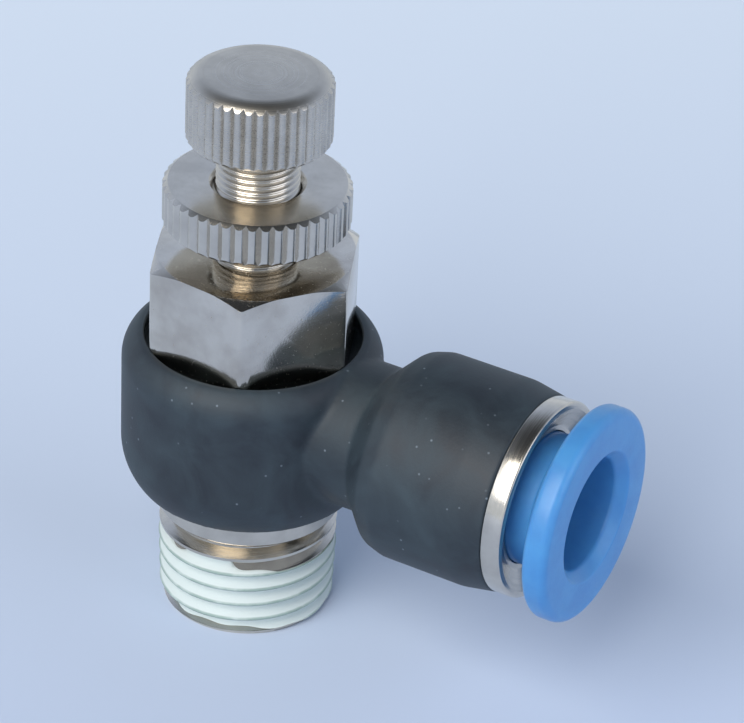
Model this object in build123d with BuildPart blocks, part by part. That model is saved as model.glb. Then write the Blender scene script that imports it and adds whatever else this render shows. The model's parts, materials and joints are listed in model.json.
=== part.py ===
"""Elbow flow control valve for compressed air, with a push-in tube socket.

A threaded metal stem and a hexagonal bonnet are joined inside a moulded elbow that
turns about them. A needle screws through the bonnet onto a seat, and a lipped seal
round the bonnet's shank lets air pass freely one way only.

The origin is the centre of the thread's end face. +Z runs up the needle and +X out
along the tube socket. Lengths are in millimetres.
"""

import os
from math import cos, pi, radians, sin, tan

from build123d import *

# Fits
running_gap = 0.06  # radial gap of a part that turns or slides in another
seal_gap = 0.04  # radial gap between a seal's working face and the wall it runs on
seat_gap = 0.10  # axial gap between faces that meet at the end of a movement

# Taper thread and the stem that carries it
thread_end_r = 6.39  # crest radius at the end face
thread_pitch = 25.4 / 19
thread_taper = 1 / 32  # growth of the radius along the length
thread_depth = 0.86
thread_crest_flat = 0.22
thread_lead_in = 0.27
thread_lead_height = 0.40
thread_first_root = 0.85  # height of the lowest root
thread_ridge_count = 5
relief_height = 0.62
relief_depth = 0.23  # below the last thread root
port_r = 3.64
port_chamfer = 0.47
sealed_ridge_count = 4
sealant_film = 0.09

collar_r = 6.76
collar_show = 2.40  # bare height between the thread relief and the elbow
collar_cover = 0.75  # height inside the elbow's lower recess
collar_chamfer = 0.23
stem_neck_height = 3.08
stem_step = 1.40  # how far the bonnet's shank reaches below the collar's top

# Bonnet
hex_across_flats = 14.00
hex_turn = -5.4  # angle of one corner from +X, in degrees
hex_height = 8.33
hex_cone_r = 7.12  # circle where the conical chamfer meets the top face
hex_cone_angle = 26.0  # chamfer slope below the top face, in degrees
hex_counterbore_depth = 0.33
shank_r = 4.57
stem_wall = 0.61  # between the shank and the O-ring grooves
shank_bore_r = 3.41
upper_land_height = 1.49
needle_thread_r = 3.00
free_hole_r = 0.65  # holes below the seat, for the free flow
metered_hole_r = 0.89  # holes above the seat, for the metered flow
hole_count = 4

# O-rings on the stem and the bonnet
o_ring_groove_depth = 1.07
o_ring_groove_width = 1.17
o_ring_corner = 0.34  # share of the cord that each squeezed corner takes

# Chamber between the shank and the elbow, and the lipped check seal in it
chamber_r = 7.37
chamber_height = 5.13
check_seal_base = 1.49  # above the chamber floor
check_seal_height = 1.49
check_seal_body = 1.45  # from the shank out to the waist under the lip
check_seal_heel = 0.51
check_seal_lip = 0.47

# Seat ring
seat_hole_r = 2.24
seat_height = 1.31
seat_chamfer = 0.19

# Elbow
hex_recess_gap = 0.16  # radial gap outside the hexagon's corners
barrel_wall = 1.23  # outside the hexagon's recess
rim_land = 0.49
shoulder_height = 2.07
foot_inset = 1.19
foot_height = 3.36
rim_height = 1.51  # rim above the hexagon's underside
arm_rise = 2.69  # arm axis above the chamber floor
neck_r = 5.41
neck_end = 11.20
socket_cone_length = 1.87
socket_cone_drop = 0.35  # from the socket down to the cone's wide end
socket_cone_round = 1.21
socket_wall = 1.38
socket_end = 23.03
socket_mouth_length = 2.43
socket_mouth_drop = 0.42
slot_width = 5.60
slot_height = 1.87
arm_passage_r = 2.71
arm_passage_start = 8.96

# Tube socket
tube_r = 4.00
tube_gap = 0.10
tube_stop = 11.57
pocket_length = 2.80
tube_seal_width = 2.43
tube_seal_wall = 2.05
spacer_width = 1.31
claw_sheet = 0.40
claw_count = 12
claw_slot = 0.51
claw_root_offset = 1.12  # from the tube bore out to where the teeth bend
claw_reach = 0.79  # how far the tips lean inwards along the tube

# Guide ring and release ring
nose_wall = 0.75
barb_height = 0.40
barb_length = 0.75
guide_wall = 1.00
guide_flange_r = 7.25
guide_flange_width = 1.46
guide_front_r = 6.74
guide_front_depth = 0.79
guide_lip_length = 3.17
release_travel = 1.40  # how far the ring is pushed in to free the tube
release_stop_gap = 0.15  # left in front of the guide ring at the end of the push
flange_r = 7.87
flange_width = 1.87
flange_chamfer = 0.37
release_neck_r = 5.40
release_neck_length = 0.40
mouth_chamfer = 0.42

# Needle and its O-ring
needle_travel = 3.25
needle_body_r = 2.71
needle_tip_r = 1.45
needle_tip_length = 2.99
piston_length = 2.61
piston_groove_depth = 0.79
piston_groove_width = 1.12
knob_spigot_r = 2.33
knob_spigot_length = 3.36

# Lock nut and knob
nut_gap = 2.36  # between the hexagon's top and the raised nut
nut_r = 6.72
nut_height = 3.16
nut_groove_count = 44
nut_groove_width = 0.34
nut_groove_depth = 0.28
nut_chamfer = 0.28
nut_countersink = 0.39
nut_to_knob = 3.45
knob_r = 5.18
knob_knurl_height = 4.41
knob_groove_count = 40
knob_groove_width = 0.28
knob_groove_depth = 0.24
knob_crown_height = 0.68
knob_face_r = 4.62
knob_chamfer = 0.23

# Radii and heights that follow from the sizes above
stem_neck_r = shank_r + stem_wall + o_ring_groove_depth
thread_length = thread_first_root + thread_ridge_count * thread_pitch
collar_bottom = thread_length + relief_height
elbow_bottom = collar_bottom + collar_show
collar_top = elbow_bottom + collar_cover
chamber_floor = collar_top + stem_neck_height
chamber_top = chamber_floor + chamber_height
hex_bottom = chamber_top + upper_land_height
hex_top = hex_bottom + hex_height
rim_top = hex_bottom + rim_height
arm_z = chamber_floor + arm_rise
shank_bottom = collar_top - stem_step
nut_bottom = hex_top + nut_gap
nut_top = nut_bottom + nut_height
knob_bottom = nut_top + nut_to_knob
knob_knurl_top = knob_bottom + knob_knurl_height
knob_top = knob_knurl_top + knob_crown_height

check_seal_bottom = chamber_floor + check_seal_base
check_seal_top = check_seal_bottom + check_seal_height
free_hole_z = chamber_floor + free_hole_r + 0.05
metered_hole_z = (check_seal_top + chamber_top) / 2
seat_top = metered_hole_z - metered_hole_r - 0.45
needle_shoulder = seat_top + needle_travel + seat_gap
piston_r = shank_bore_r - running_gap
bore_step = needle_shoulder + 5.0  # where the tapped hole starts
piston_top = bore_step - seat_gap
piston_bottom = piston_top - piston_length
needle_groove_z = (piston_top + piston_bottom) / 2

# Radii and places along the arm that follow from the sizes above
tube_bore_r = tube_r + tube_gap
nose_r = tube_bore_r + nose_wall
barb_r = nose_r + barb_height
guide_cavity_r = barb_r + running_gap
guide_spigot_r = guide_cavity_r + guide_wall
socket_r = guide_spigot_r + socket_wall
seal_outer_r = tube_bore_r + tube_seal_wall
seal_start = tube_stop + pocket_length
spacer_start = seal_start + tube_seal_width
claw_start = spacer_start + spacer_width
guide_start = claw_start + claw_sheet
guide_front = socket_end + guide_flange_width
lip_start = guide_front - guide_lip_length
barb_front = lip_start - seat_gap
nose_end = guide_start + release_travel + running_gap
flange_back = guide_front + release_travel + release_neck_length + release_stop_gap
flange_front = flange_back + flange_width

arm_plane = Plane(origin=(0, 0, arm_z), x_dir=(1, 0, 0), z_dir=(0, -1, 0))
arm_axis = Axis((0, 0, arm_z), (1, 0, 0))


def save(builder, name):
    """Label a finished piece and write its STEP file."""
    builder.part.label = name
    export_step(builder.part, f"parts/{name}.step")


def thread_crest_r(z):
    """Crest radius of the taper thread at height z."""
    return thread_end_r + z * thread_taper


def thread_outline(ridge_count, film=0.0):
    """Points along the thread's ridges from the lowest root up, raised by a film."""
    points = [(thread_crest_r(thread_first_root) - thread_depth + film, thread_first_root)]
    for ridge in range(ridge_count):
        middle = thread_first_root + (ridge + 0.5) * thread_pitch
        top = middle + thread_pitch / 2
        crest_r = thread_crest_r(middle) + film
        points.append((crest_r, middle - thread_crest_flat / 2))
        points.append((crest_r, middle + thread_crest_flat / 2))
        points.append((thread_crest_r(top) - thread_depth + film, top))
    return points


def groove_section(outer_r, middle_z):
    """Section of an O-ring groove in a turned piece on the Z axis."""
    low = middle_z - o_ring_groove_width / 2
    with BuildSketch(Plane.XZ) as section:
        with Locations((outer_r - o_ring_groove_depth, low)):
            Rectangle(
                o_ring_groove_depth + 1, o_ring_groove_width, align=(Align.MIN, Align.MIN)
            )
    return section.sketch


def o_ring_section(inner_r, outer_r, middle_z):
    """Section of an O-ring squeezed between two radii."""
    cord = outer_r - inner_r
    with BuildSketch(Plane.XZ) as section:
        with Locations((inner_r + cord / 2, middle_z)):
            Rectangle(cord, cord)
        chamfer(section.vertices(), cord * o_ring_corner)
    return section.sketch


def knurled_section(radius, grooves, width, depth, plane):
    """Section of a round bar with straight grooves cut along it."""
    root, lip = width * 0.22, width * 0.72
    with BuildSketch(plane) as section:
        Circle(radius)
        with PolarLocations(radius, grooves):
            Polygon(
                (-depth, -root),
                (0.2, -lip),
                (0.2, lip),
                (-depth, root),
                align=None,
                mode=Mode.SUBTRACT,
            )
    return section.sketch


# ---------------------------------------------------------------- threaded stem
relief_r = thread_crest_r(thread_length) - thread_depth - relief_depth
lower_groove_z = collar_top + stem_neck_height / 2

with BuildPart() as threaded_stem:
    with BuildSketch(Plane.XZ):
        with BuildLine():
            Polyline(
                (0, 0),
                (thread_end_r - thread_lead_in, 0),
                (thread_crest_r(thread_lead_height), thread_lead_height),
                *thread_outline(thread_ridge_count),
                (relief_r, thread_length),
                (relief_r, collar_bottom),
                (collar_r - collar_chamfer, collar_bottom),
                (collar_r, collar_bottom + collar_chamfer),
                (collar_r, collar_top),
                (stem_neck_r, collar_top),
                (stem_neck_r, chamber_floor),
                (0, chamber_floor),
                close=True,
            )
        make_face()
    revolve(axis=Axis.Z)
    revolve(groove_section(stem_neck_r, lower_groove_z), axis=Axis.Z, mode=Mode.SUBTRACT)
    # The port, and the socket that the bonnet's shank is pressed into
    with BuildSketch(Plane.XY):
        Circle(port_r)
    extrude(amount=shank_bottom, mode=Mode.SUBTRACT)
    with BuildSketch(Plane.XY.offset(shank_bottom)):
        Circle(shank_r)
    extrude(amount=chamber_floor - shank_bottom, mode=Mode.SUBTRACT)
    mouth = threaded_stem.edges().filter_by(GeomType.CIRCLE).group_by(Axis.Z)[0]
    chamfer(mouth.sort_by(SortBy.RADIUS)[0], port_chamfer)
save(threaded_stem, "threaded_stem")

# ---------------------------------------------------------------- thread sealant
with BuildPart() as thread_sealant:
    with BuildSketch(Plane.XZ):
        with BuildLine():
            inner = thread_outline(sealed_ridge_count)
            outer = thread_outline(sealed_ridge_count, sealant_film)
            Polyline(*inner, *reversed(outer), close=True)
        make_face()
    revolve(axis=Axis.Z)
save(thread_sealant, "thread_sealant")

# ---------------------------------------------------------------- hexagonal bonnet
hex_corner_r = hex_across_flats / 2 / cos(radians(30))
upper_groove_z = (chamber_top + hex_bottom) / 2

with BuildPart() as hex_bonnet:
    with BuildSketch(Plane.XY.offset(hex_bottom)):
        RegularPolygon(hex_corner_r, 6, rotation=hex_turn)
    extrude(amount=hex_height)
    # Conical chamfer on the upper corners and a lesser one below
    cone_drop = (hex_corner_r + 1 - hex_cone_r) * tan(radians(hex_cone_angle))
    with BuildSketch(Plane.XZ):
        with BuildLine():
            Polyline(
                (0, hex_bottom),
                (hex_corner_r - 0.35, hex_bottom),
                (hex_corner_r + 1, hex_bottom + 0.8),
                (hex_corner_r + 1, hex_top - cone_drop),
                (hex_cone_r, hex_top),
                (0, hex_top),
                close=True,
            )
        make_face()
    revolve(axis=Axis.Z, mode=Mode.INTERSECT)
    with BuildSketch(Plane.XY.offset(chamber_top)):
        Circle(stem_neck_r)
    extrude(amount=hex_bottom - chamber_top)
    revolve(groove_section(stem_neck_r, upper_groove_z), axis=Axis.Z, mode=Mode.SUBTRACT)
    with BuildSketch(Plane.XY.offset(shank_bottom)):
        Circle(shank_r)
    extrude(amount=chamber_top - shank_bottom)
    # Bore for the needle's piston, then the tapped hole above it
    with BuildSketch(Plane.XY.offset(shank_bottom)):
        Circle(shank_bore_r)
    extrude(amount=bore_step - shank_bottom, mode=Mode.SUBTRACT)
    with BuildSketch(Plane.XY.offset(bore_step)):
        Circle(needle_thread_r + running_gap)
    extrude(amount=hex_top - bore_step, mode=Mode.SUBTRACT)
    with BuildSketch(Plane.XY.offset(hex_top)):
        Circle(needle_thread_r + running_gap + hex_counterbore_depth)
    extrude(amount=-hex_counterbore_depth, taper=44, mode=Mode.SUBTRACT)
    # Cross holes through the shank, below and above the seat
    for hole_z, hole_r in ((free_hole_z, free_hole_r), (metered_hole_z, metered_hole_r)):
        with PolarLocations(0, hole_count):
            with Locations(Location((0, 0, hole_z), (0, 90, 0))):
                Cylinder(
                    hole_r,
                    shank_r + 0.5,
                    align=(Align.CENTER, Align.CENTER, Align.MIN),
                    mode=Mode.SUBTRACT,
                )
save(hex_bonnet, "hex_bonnet")

# ---------------------------------------------------------------- seat ring
with BuildPart() as seat_ring:
    with BuildSketch(Plane.XY.offset(seat_top - seat_height)):
        Circle(shank_bore_r)
        Circle(seat_hole_r, mode=Mode.SUBTRACT)
    extrude(amount=seat_height)
    seat_edge = seat_ring.edges().group_by(Axis.Z)[-1].sort_by(SortBy.RADIUS)[0]
    chamfer(seat_edge, seat_chamfer)
save(seat_ring, "seat_ring")

# ---------------------------------------------------------------- O-rings
stem_bore_r = stem_neck_r + running_gap  # elbow's lands over the stem and bonnet
ring_inner_r = stem_neck_r - o_ring_groove_depth
ring_outer_r = stem_bore_r - seal_gap

with BuildPart() as lower_o_ring:
    revolve(o_ring_section(ring_inner_r, ring_outer_r, lower_groove_z), axis=Axis.Z)
save(lower_o_ring, "lower_o_ring")

with BuildPart() as upper_o_ring:
    revolve(o_ring_section(ring_inner_r, ring_outer_r, upper_groove_z), axis=Axis.Z)
save(upper_o_ring, "upper_o_ring")

with BuildPart() as needle_o_ring:
    needle_ring_inner_r = piston_r - piston_groove_depth + 0.02
    needle_ring_outer_r = shank_bore_r - 0.02
    revolve(
        o_ring_section(needle_ring_inner_r, needle_ring_outer_r, needle_groove_z),
        axis=Axis.Z,
    )
save(needle_o_ring, "needle_o_ring")

# ---------------------------------------------------------------- check seal
lip_r = chamber_r - seal_gap

check_seal_waist_r = shank_r + check_seal_body

with BuildPart() as check_seal:
    with BuildSketch(Plane.XZ):
        with BuildLine():
            Polyline(
                (shank_r, check_seal_bottom),
                (check_seal_waist_r - 0.35, check_seal_bottom),
                (check_seal_waist_r, check_seal_bottom + check_seal_heel * 0.5),
                (lip_r, check_seal_top - 0.10),
                (lip_r - check_seal_lip * 0.5, check_seal_top),
                (lip_r - check_seal_lip, check_seal_top - 0.10),
                (check_seal_waist_r - 0.60, check_seal_bottom + check_seal_heel * 1.9),
                (check_seal_waist_r - 0.95, check_seal_top),
                (shank_r, check_seal_top),
                close=True,
            )
        make_face()
    revolve(axis=Axis.Z)
save(check_seal, "check_seal")

# ---------------------------------------------------------------- elbow housing
hex_recess_r = hex_corner_r + hex_recess_gap
barrel_r = hex_recess_r + barrel_wall
rim_r = hex_recess_r + rim_land
foot_r = barrel_r - foot_inset

with BuildPart() as elbow_housing:
    # Barrel, with rounded foot and shoulder
    with BuildSketch(Plane.XZ):
        with BuildLine():
            Polyline((0, rim_top), (0, elbow_bottom), (foot_r, elbow_bottom))
            wall = Line(
                (barrel_r, elbow_bottom + foot_height), (barrel_r, rim_top - shoulder_height)
            )
            TangentArc(wall @ 0, (foot_r, elbow_bottom), tangent=(0, -1))
            TangentArc(wall @ 1, (rim_r, rim_top), tangent=(0, 1))
            Line((rim_r, rim_top), (0, rim_top))
        make_face()
    revolve(axis=Axis.Z)
    # Neck and socket
    with BuildSketch(Plane(origin=(hex_recess_r, 0, arm_z), z_dir=(1, 0, 0))):
        Circle(neck_r)
    extrude(amount=neck_end + socket_cone_length - hex_recess_r)
    with BuildSketch(arm_plane):
        cone_end = neck_end + socket_cone_length
        with BuildLine():
            Polyline(
                (socket_end, socket_r - socket_mouth_drop),
                (socket_end, 0),
                (neck_end, 0),
                (neck_end, neck_r),
                (cone_end, socket_r - socket_cone_drop),
            )
            side = Line(
                (cone_end + socket_cone_round, socket_r),
                (socket_end - socket_mouth_length, socket_r),
            )
            TangentArc(side @ 0, (cone_end, socket_r - socket_cone_drop), tangent=(-1, 0))
            TangentArc(side @ 1, (socket_end, socket_r - socket_mouth_drop), tangent=(1, 0))
        make_face()
    revolve(axis=arm_axis)
    # Bores for the stem, the chamber, the bonnet and the hexagon
    above = rim_top + neck_r
    for bottom, top, radius in (
        (elbow_bottom, collar_top + seat_gap, collar_r + running_gap),
        (collar_top, chamber_floor, stem_bore_r),
        (chamber_floor, chamber_top, chamber_r),
        (chamber_top, hex_bottom, stem_bore_r),
        (hex_bottom - seat_gap, above, hex_recess_r),
    ):
        with BuildSketch(Plane.XY.offset(bottom)):
            Circle(radius)
        extrude(amount=top - bottom, mode=Mode.SUBTRACT)
    # Slot from the chamber above the check seal, then the passage to the tube
    with BuildSketch(Plane(origin=(shank_r + 1, 0, metered_hole_z), z_dir=(1, 0, 0))):
        SlotOverall(slot_width, slot_height)
    extrude(amount=arm_passage_start + 0.5 - shank_r - 1, mode=Mode.SUBTRACT)
    with BuildSketch(arm_plane):
        with BuildLine():
            Polyline(
                (arm_passage_start, 0),
                (arm_passage_start, arm_passage_r),
                (tube_stop, arm_passage_r),
                (tube_stop, tube_bore_r),
                (seal_start, tube_bore_r),
                (seal_start, seal_outer_r),
                (spacer_start, seal_outer_r),
                (spacer_start, guide_spigot_r),
                (socket_end, guide_spigot_r),
                (socket_end, 0),
                close=True,
            )
        make_face()
    revolve(axis=arm_axis, mode=Mode.SUBTRACT)
save(elbow_housing, "elbow_housing")

# ---------------------------------------------------------------- tube seal
with BuildPart() as tube_seal:
    with BuildSketch(arm_plane):
        with BuildLine():
            mid_r = (tube_bore_r + seal_outer_r) / 2
            Polyline(
                (seal_start + 0.10, tube_bore_r + 0.02),
                (spacer_start - 0.50, tube_bore_r + 0.02),
                (spacer_start, tube_bore_r + 0.52),
                (spacer_start, seal_outer_r),
                (seal_start + 0.10, seal_outer_r),
                (seal_start, seal_outer_r - 0.30),
                (seal_start + 1.20, mid_r),
                (seal_start, tube_bore_r + 0.32),
                close=True,
            )
        make_face()
    revolve(axis=arm_axis)
save(tube_seal, "tube_seal")

# ---------------------------------------------------------------- claw spacer
with BuildPart() as claw_spacer:
    with BuildSketch(arm_plane):
        with BuildLine():
            Polyline(
                (spacer_start, tube_bore_r + 0.02),
                (spacer_start + 0.30, tube_bore_r + 0.02),
                (claw_start, tube_bore_r + claw_root_offset + 0.25),
                (claw_start, guide_spigot_r),
                (spacer_start, guide_spigot_r),
                close=True,
            )
        make_face()
    revolve(axis=arm_axis)
save(claw_spacer, "claw_spacer")

# ---------------------------------------------------------------- claw ring
claw_root_r = tube_bore_r + claw_root_offset
claw_tip_r = tube_bore_r + 0.02

with BuildPart() as claw_ring:
    with BuildSketch(arm_plane):
        with BuildLine():
            Polyline(
                (claw_start, guide_spigot_r),
                (claw_start, claw_root_r + 0.25),
                (claw_start - claw_reach, claw_tip_r),
                (claw_start - claw_reach + claw_sheet, claw_tip_r),
                (guide_start, claw_root_r),
                (guide_start, guide_spigot_r),
                close=True,
            )
        make_face()
    revolve(axis=arm_axis)
    # Slots between the teeth
    with BuildSketch(Plane(origin=(claw_start - claw_reach, 0, arm_z), z_dir=(1, 0, 0))):
        with PolarLocations(0, claw_count):
            with Locations((claw_root_r / 2, 0)):
                Rectangle(claw_root_r, claw_slot)
    extrude(amount=claw_reach + claw_sheet, mode=Mode.SUBTRACT)
save(claw_ring, "claw_ring")

# ---------------------------------------------------------------- guide ring
with BuildPart() as guide_ring:
    with BuildSketch(arm_plane):
        with BuildLine():
            Polyline(
                (guide_start, guide_cavity_r),
                (guide_start, guide_spigot_r),
                (socket_end, guide_spigot_r),
                (socket_end, guide_flange_r),
                (guide_front - 0.25, guide_flange_r),
                (guide_front, guide_flange_r - 0.25),
                (guide_front, guide_front_r),
                (guide_front - guide_front_depth, nose_r + running_gap + 0.30),
                (guide_front - guide_front_depth, nose_r + running_gap),
                (lip_start, nose_r + running_gap),
                (lip_start, guide_cavity_r),
                close=True,
            )
        make_face()
    revolve(axis=arm_axis)
save(guide_ring, "guide_ring")

# ---------------------------------------------------------------- release ring
with BuildPart() as release_ring:
    with BuildSketch(arm_plane):
        with BuildLine():
            Polyline(
                (nose_end, tube_bore_r + 0.05),
                (nose_end, nose_r - 0.30),
                (barb_front - barb_length, nose_r),
                (barb_front - barb_length * 0.4, barb_r),
                (barb_front, barb_r),
                (barb_front, nose_r),
                (flange_back - release_neck_length, nose_r),
                (flange_back - release_neck_length, release_neck_r),
                (flange_back, release_neck_r),
                (flange_back, flange_r),
                (flange_front, flange_r),
                (flange_front, tube_bore_r + 0.05),
                close=True,
            )
        make_face()
    revolve(axis=arm_axis)
    front = release_ring.edges().filter_by(GeomType.CIRCLE).group_by(Axis.X)[-1]
    chamfer(front.sort_by(SortBy.RADIUS)[0], mouth_chamfer)
    outer_edges = release_ring.edges().filter_by(GeomType.CIRCLE)
    chamfer(outer_edges.group_by(SortBy.RADIUS)[-1], flange_chamfer)
save(release_ring, "release_ring")

# ---------------------------------------------------------------- needle
with BuildPart() as needle:
    with BuildSketch(Plane.XZ):
        groove_r = piston_r - piston_groove_depth
        groove_low = needle_groove_z - piston_groove_width / 2
        groove_high = needle_groove_z + piston_groove_width / 2
        with BuildLine():
            Polyline(
                (0, needle_shoulder - needle_tip_length),
                (needle_tip_r - 0.15, needle_shoulder - needle_tip_length),
                (needle_tip_r, needle_shoulder - needle_tip_length + 0.15),
                (seat_hole_r - 0.10, needle_shoulder - 0.35),
                (seat_hole_r - 0.10, needle_shoulder),
                (needle_body_r, needle_shoulder),
                (needle_body_r, piston_bottom - 0.30),
                (piston_r, piston_bottom),
                (piston_r, groove_low),
                (groove_r, groove_low),
                (groove_r, groove_high),
                (piston_r, groove_high),
                (piston_r, piston_top),
                (needle_thread_r, piston_top),
                (needle_thread_r, knob_bottom),
                (knob_spigot_r, knob_bottom),
                (knob_spigot_r, knob_bottom + knob_spigot_length),
                (0, knob_bottom + knob_spigot_length),
                close=True,
            )
        make_face()
    revolve(axis=Axis.Z)
save(needle, "needle")

# ---------------------------------------------------------------- lock nut
nut_hole_r = needle_thread_r + running_gap

with BuildPart() as lock_nut:
    extrude(
        knurled_section(
            nut_r,
            nut_groove_count,
            nut_groove_width,
            nut_groove_depth,
            Plane.XY.offset(nut_bottom),
        ),
        amount=nut_height,
    )
    with BuildSketch(Plane.XZ):
        with BuildLine():
            Polyline(
                (nut_hole_r + nut_countersink, nut_bottom),
                (nut_r - nut_chamfer, nut_bottom),
                (nut_r, nut_bottom + nut_chamfer),
                (nut_r, nut_top - nut_chamfer),
                (nut_r - nut_chamfer, nut_top),
                (nut_hole_r + nut_countersink, nut_top),
                (nut_hole_r, nut_top - nut_countersink),
                (nut_hole_r, nut_bottom + nut_countersink),
                close=True,
            )
        make_face()
    revolve(axis=Axis.Z, mode=Mode.INTERSECT)
save(lock_nut, "lock_nut")

# ---------------------------------------------------------------- adjusting knob
with BuildPart() as adjusting_knob:
    extrude(
        knurled_section(
            knob_r,
            knob_groove_count,
            knob_groove_width,
            knob_groove_depth,
            Plane.XY.offset(knob_bottom),
        ),
        amount=knob_top - knob_bottom,
    )
    with BuildSketch(Plane.XZ):
        with BuildLine():
            Polyline(
                (knob_spigot_r, knob_bottom),
                (knob_r - knob_chamfer, knob_bottom),
                (knob_r, knob_bottom + knob_chamfer),
                (knob_r, knob_knurl_top),
                (knob_face_r, knob_top),
                (0, knob_top),
                (0, knob_bottom + knob_spigot_length),
                (knob_spigot_r, knob_bottom + knob_spigot_length),
                close=True,
            )
        make_face()
    revolve(axis=Axis.Z, mode=Mode.INTERSECT)
save(adjusting_knob, "adjusting_knob")
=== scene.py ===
"""Finished surfaces, stage and camera for an elbow flow control valve.

The script is laid out as an add-on and is run as a script. Each operator models one
piece, or a group of like pieces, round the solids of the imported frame. The frame's +Z
runs up the needle, +X out along the tube socket, and the origin is the centre of the
thread's end face. Sizes here are millimetres until a point is drawn.
"""

import json
import math

import bpy
from mathutils import Matrix, Vector


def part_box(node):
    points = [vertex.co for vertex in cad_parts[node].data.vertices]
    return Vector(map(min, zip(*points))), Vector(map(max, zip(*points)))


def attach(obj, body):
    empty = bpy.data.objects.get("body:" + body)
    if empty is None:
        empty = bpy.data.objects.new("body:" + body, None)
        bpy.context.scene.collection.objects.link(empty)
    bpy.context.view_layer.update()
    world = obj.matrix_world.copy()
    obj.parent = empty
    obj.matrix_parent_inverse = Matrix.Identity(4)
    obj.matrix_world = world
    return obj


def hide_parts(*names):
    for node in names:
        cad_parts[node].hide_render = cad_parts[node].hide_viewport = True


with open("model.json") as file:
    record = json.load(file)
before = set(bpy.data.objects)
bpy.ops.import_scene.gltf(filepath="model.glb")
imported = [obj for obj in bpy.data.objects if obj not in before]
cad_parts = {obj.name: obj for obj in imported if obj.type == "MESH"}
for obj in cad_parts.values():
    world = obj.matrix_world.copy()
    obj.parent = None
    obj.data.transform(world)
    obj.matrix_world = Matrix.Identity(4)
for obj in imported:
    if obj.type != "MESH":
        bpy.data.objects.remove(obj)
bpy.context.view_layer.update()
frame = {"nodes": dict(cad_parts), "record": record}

bl_info = {
    "name": "Elbow flow control valve",
    "version": (1, 0, 0),
    "blender": (4, 5, 0),
    "location": "View3D > Sidebar > Valve",
    "description": "Models the finished pieces of an elbow flow control valve",
    "category": "Object",
}

MM = 0.001
MERGE = 1e-6  # metres between points that are one point


def corners(node):
    """Lowest and highest corner of a solid of the frame, in millimetres."""
    low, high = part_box(node)
    return low / MM, high / MM


def body_of(node):
    """Name of the body that carries a solid of the frame."""
    for body, members in frame["record"]["behaviour"]["bodies"].items():
        if node in members:
            return body
    raise RuntimeError(f"no body carries {node}")


MOUNTS = {mount["name"]: mount for mount in frame["record"]["mounts"]}
ARM_Z = MOUNTS["tube_socket"]["pos_m"][2] / MM
PORT_R = MOUNTS["port_bore"]["dims"]["r_mm"]
TUBE_R = MOUNTS["tube_socket"]["dims"]["r_mm"]
THREAD_R = MOUNTS["taper_thread"]["dims"]["r_mm"]
THREAD_LENGTH = MOUNTS["taper_thread"]["dims"]["length_mm"]
HEX_FLAT_R = MOUNTS["wrench_hexagon"]["dims"]["r_mm"]

TAPER = 1 / 32  # growth of the thread's radius along its length
THREAD_PITCH = 25.4 / 19
NEEDLE_PITCH = 0.5
NEEDLE_THREAD_DEPTH = 0.26
THREAD_DEPTH = 0.86
THREAD_PHASE = 0.41  # height of a crest on the +X side
BARREL_BOTTOM = 10.55  # elbow's foot on the collar
COLLAR_TOP = 11.30
CHAMBER_BOTTOM = 14.38
CHAMBER_TOP = 19.51
HEX_BOTTOM = 21.00
RIM_TOP = 22.51
HEX_TURN = -5.4  # degrees from +X to a corner
HEX_FOOT_R = 7.80  # the corners are turned down to this where they dip into the rim
STEM_NECK_R = 6.25
SHANK_R = 4.57
SHANK_BORE_R = 3.41
RUNNING_GAP = 0.06  # between pieces that turn or slide in one another
NEEDLE_THREAD_R = 3.00
TAPPED_R = NEEDLE_THREAD_R + RUNNING_GAP
KNOB_HOLE_DEPTH = 3.36  # the needle's plain end is pressed in this far
SPIGOT_R = 6.31  # guide ring's seat in the socket
NOSE_R = 4.85  # release ring, where it slides in the guide ring
KNURL_SHARES = (1.0, 0.62, 0.20, 0.05)  # depth from a groove's root out to its land


# ------------------------------------------------------------------ modelling helpers
def deselect_all():
    """Go to object mode and leave no object selected."""
    if bpy.context.object and bpy.context.object.mode != "OBJECT":
        bpy.ops.object.mode_set(mode="OBJECT")
    bpy.ops.object.select_all(action="DESELECT")


def pick(piece):
    """Make one piece the selected and active one."""
    deselect_all()
    piece.select_set(True)
    bpy.context.view_layer.objects.active = piece


def apply_modifier(piece, kind, **settings):
    """Add a modifier to a piece and apply it."""
    pick(piece)
    modifier = piece.modifiers.new(kind.lower(), kind)
    for setting, value in settings.items():
        setattr(modifier, setting, value)
    bpy.ops.object.modifier_apply(modifier=modifier.name)


def combine(piece, tool, operation):
    """Join, cut or trim a piece with a tool, which is used up."""
    apply_modifier(piece, "BOOLEAN", operation=operation, solver="EXACT", object=tool)
    bpy.data.objects.remove(tool)
    return piece


def close_up(piece):
    """Merge the doubles of a piece and turn its faces outwards."""
    pick(piece)
    bpy.ops.object.mode_set(mode="EDIT")
    bpy.ops.mesh.select_all(action="SELECT")
    bpy.ops.mesh.remove_doubles(threshold=MERGE)
    bpy.ops.mesh.normals_make_consistent(inside=False)
    bpy.ops.object.mode_set(mode="OBJECT")


def softened(points, arc_steps=4):
    """Outline whose corners given as (radius, place, round) become arcs of that round."""
    outline = []
    for index, corner in enumerate(points):
        here = Vector(corner[:2])
        round_r = corner[2] if len(corner) > 2 else 0
        if not round_r:
            outline.append(here)
            continue
        back = (Vector(points[index - 1][:2]) - here).normalized()
        ahead = (Vector(points[(index + 1) % len(points)][:2]) - here).normalized()
        half = back.angle(ahead) / 2
        centre = here + (back + ahead).normalized() * round_r / math.sin(half)
        start = here + back * round_r / math.tan(half) - centre
        end = here + ahead * round_r / math.tan(half) - centre
        turn = start.angle_signed(end)
        for step in range(arc_steps + 1):
            angle = -turn * step / arc_steps
            outline.append(centre + Matrix.Rotation(angle, 2) @ start)
    return outline


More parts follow.
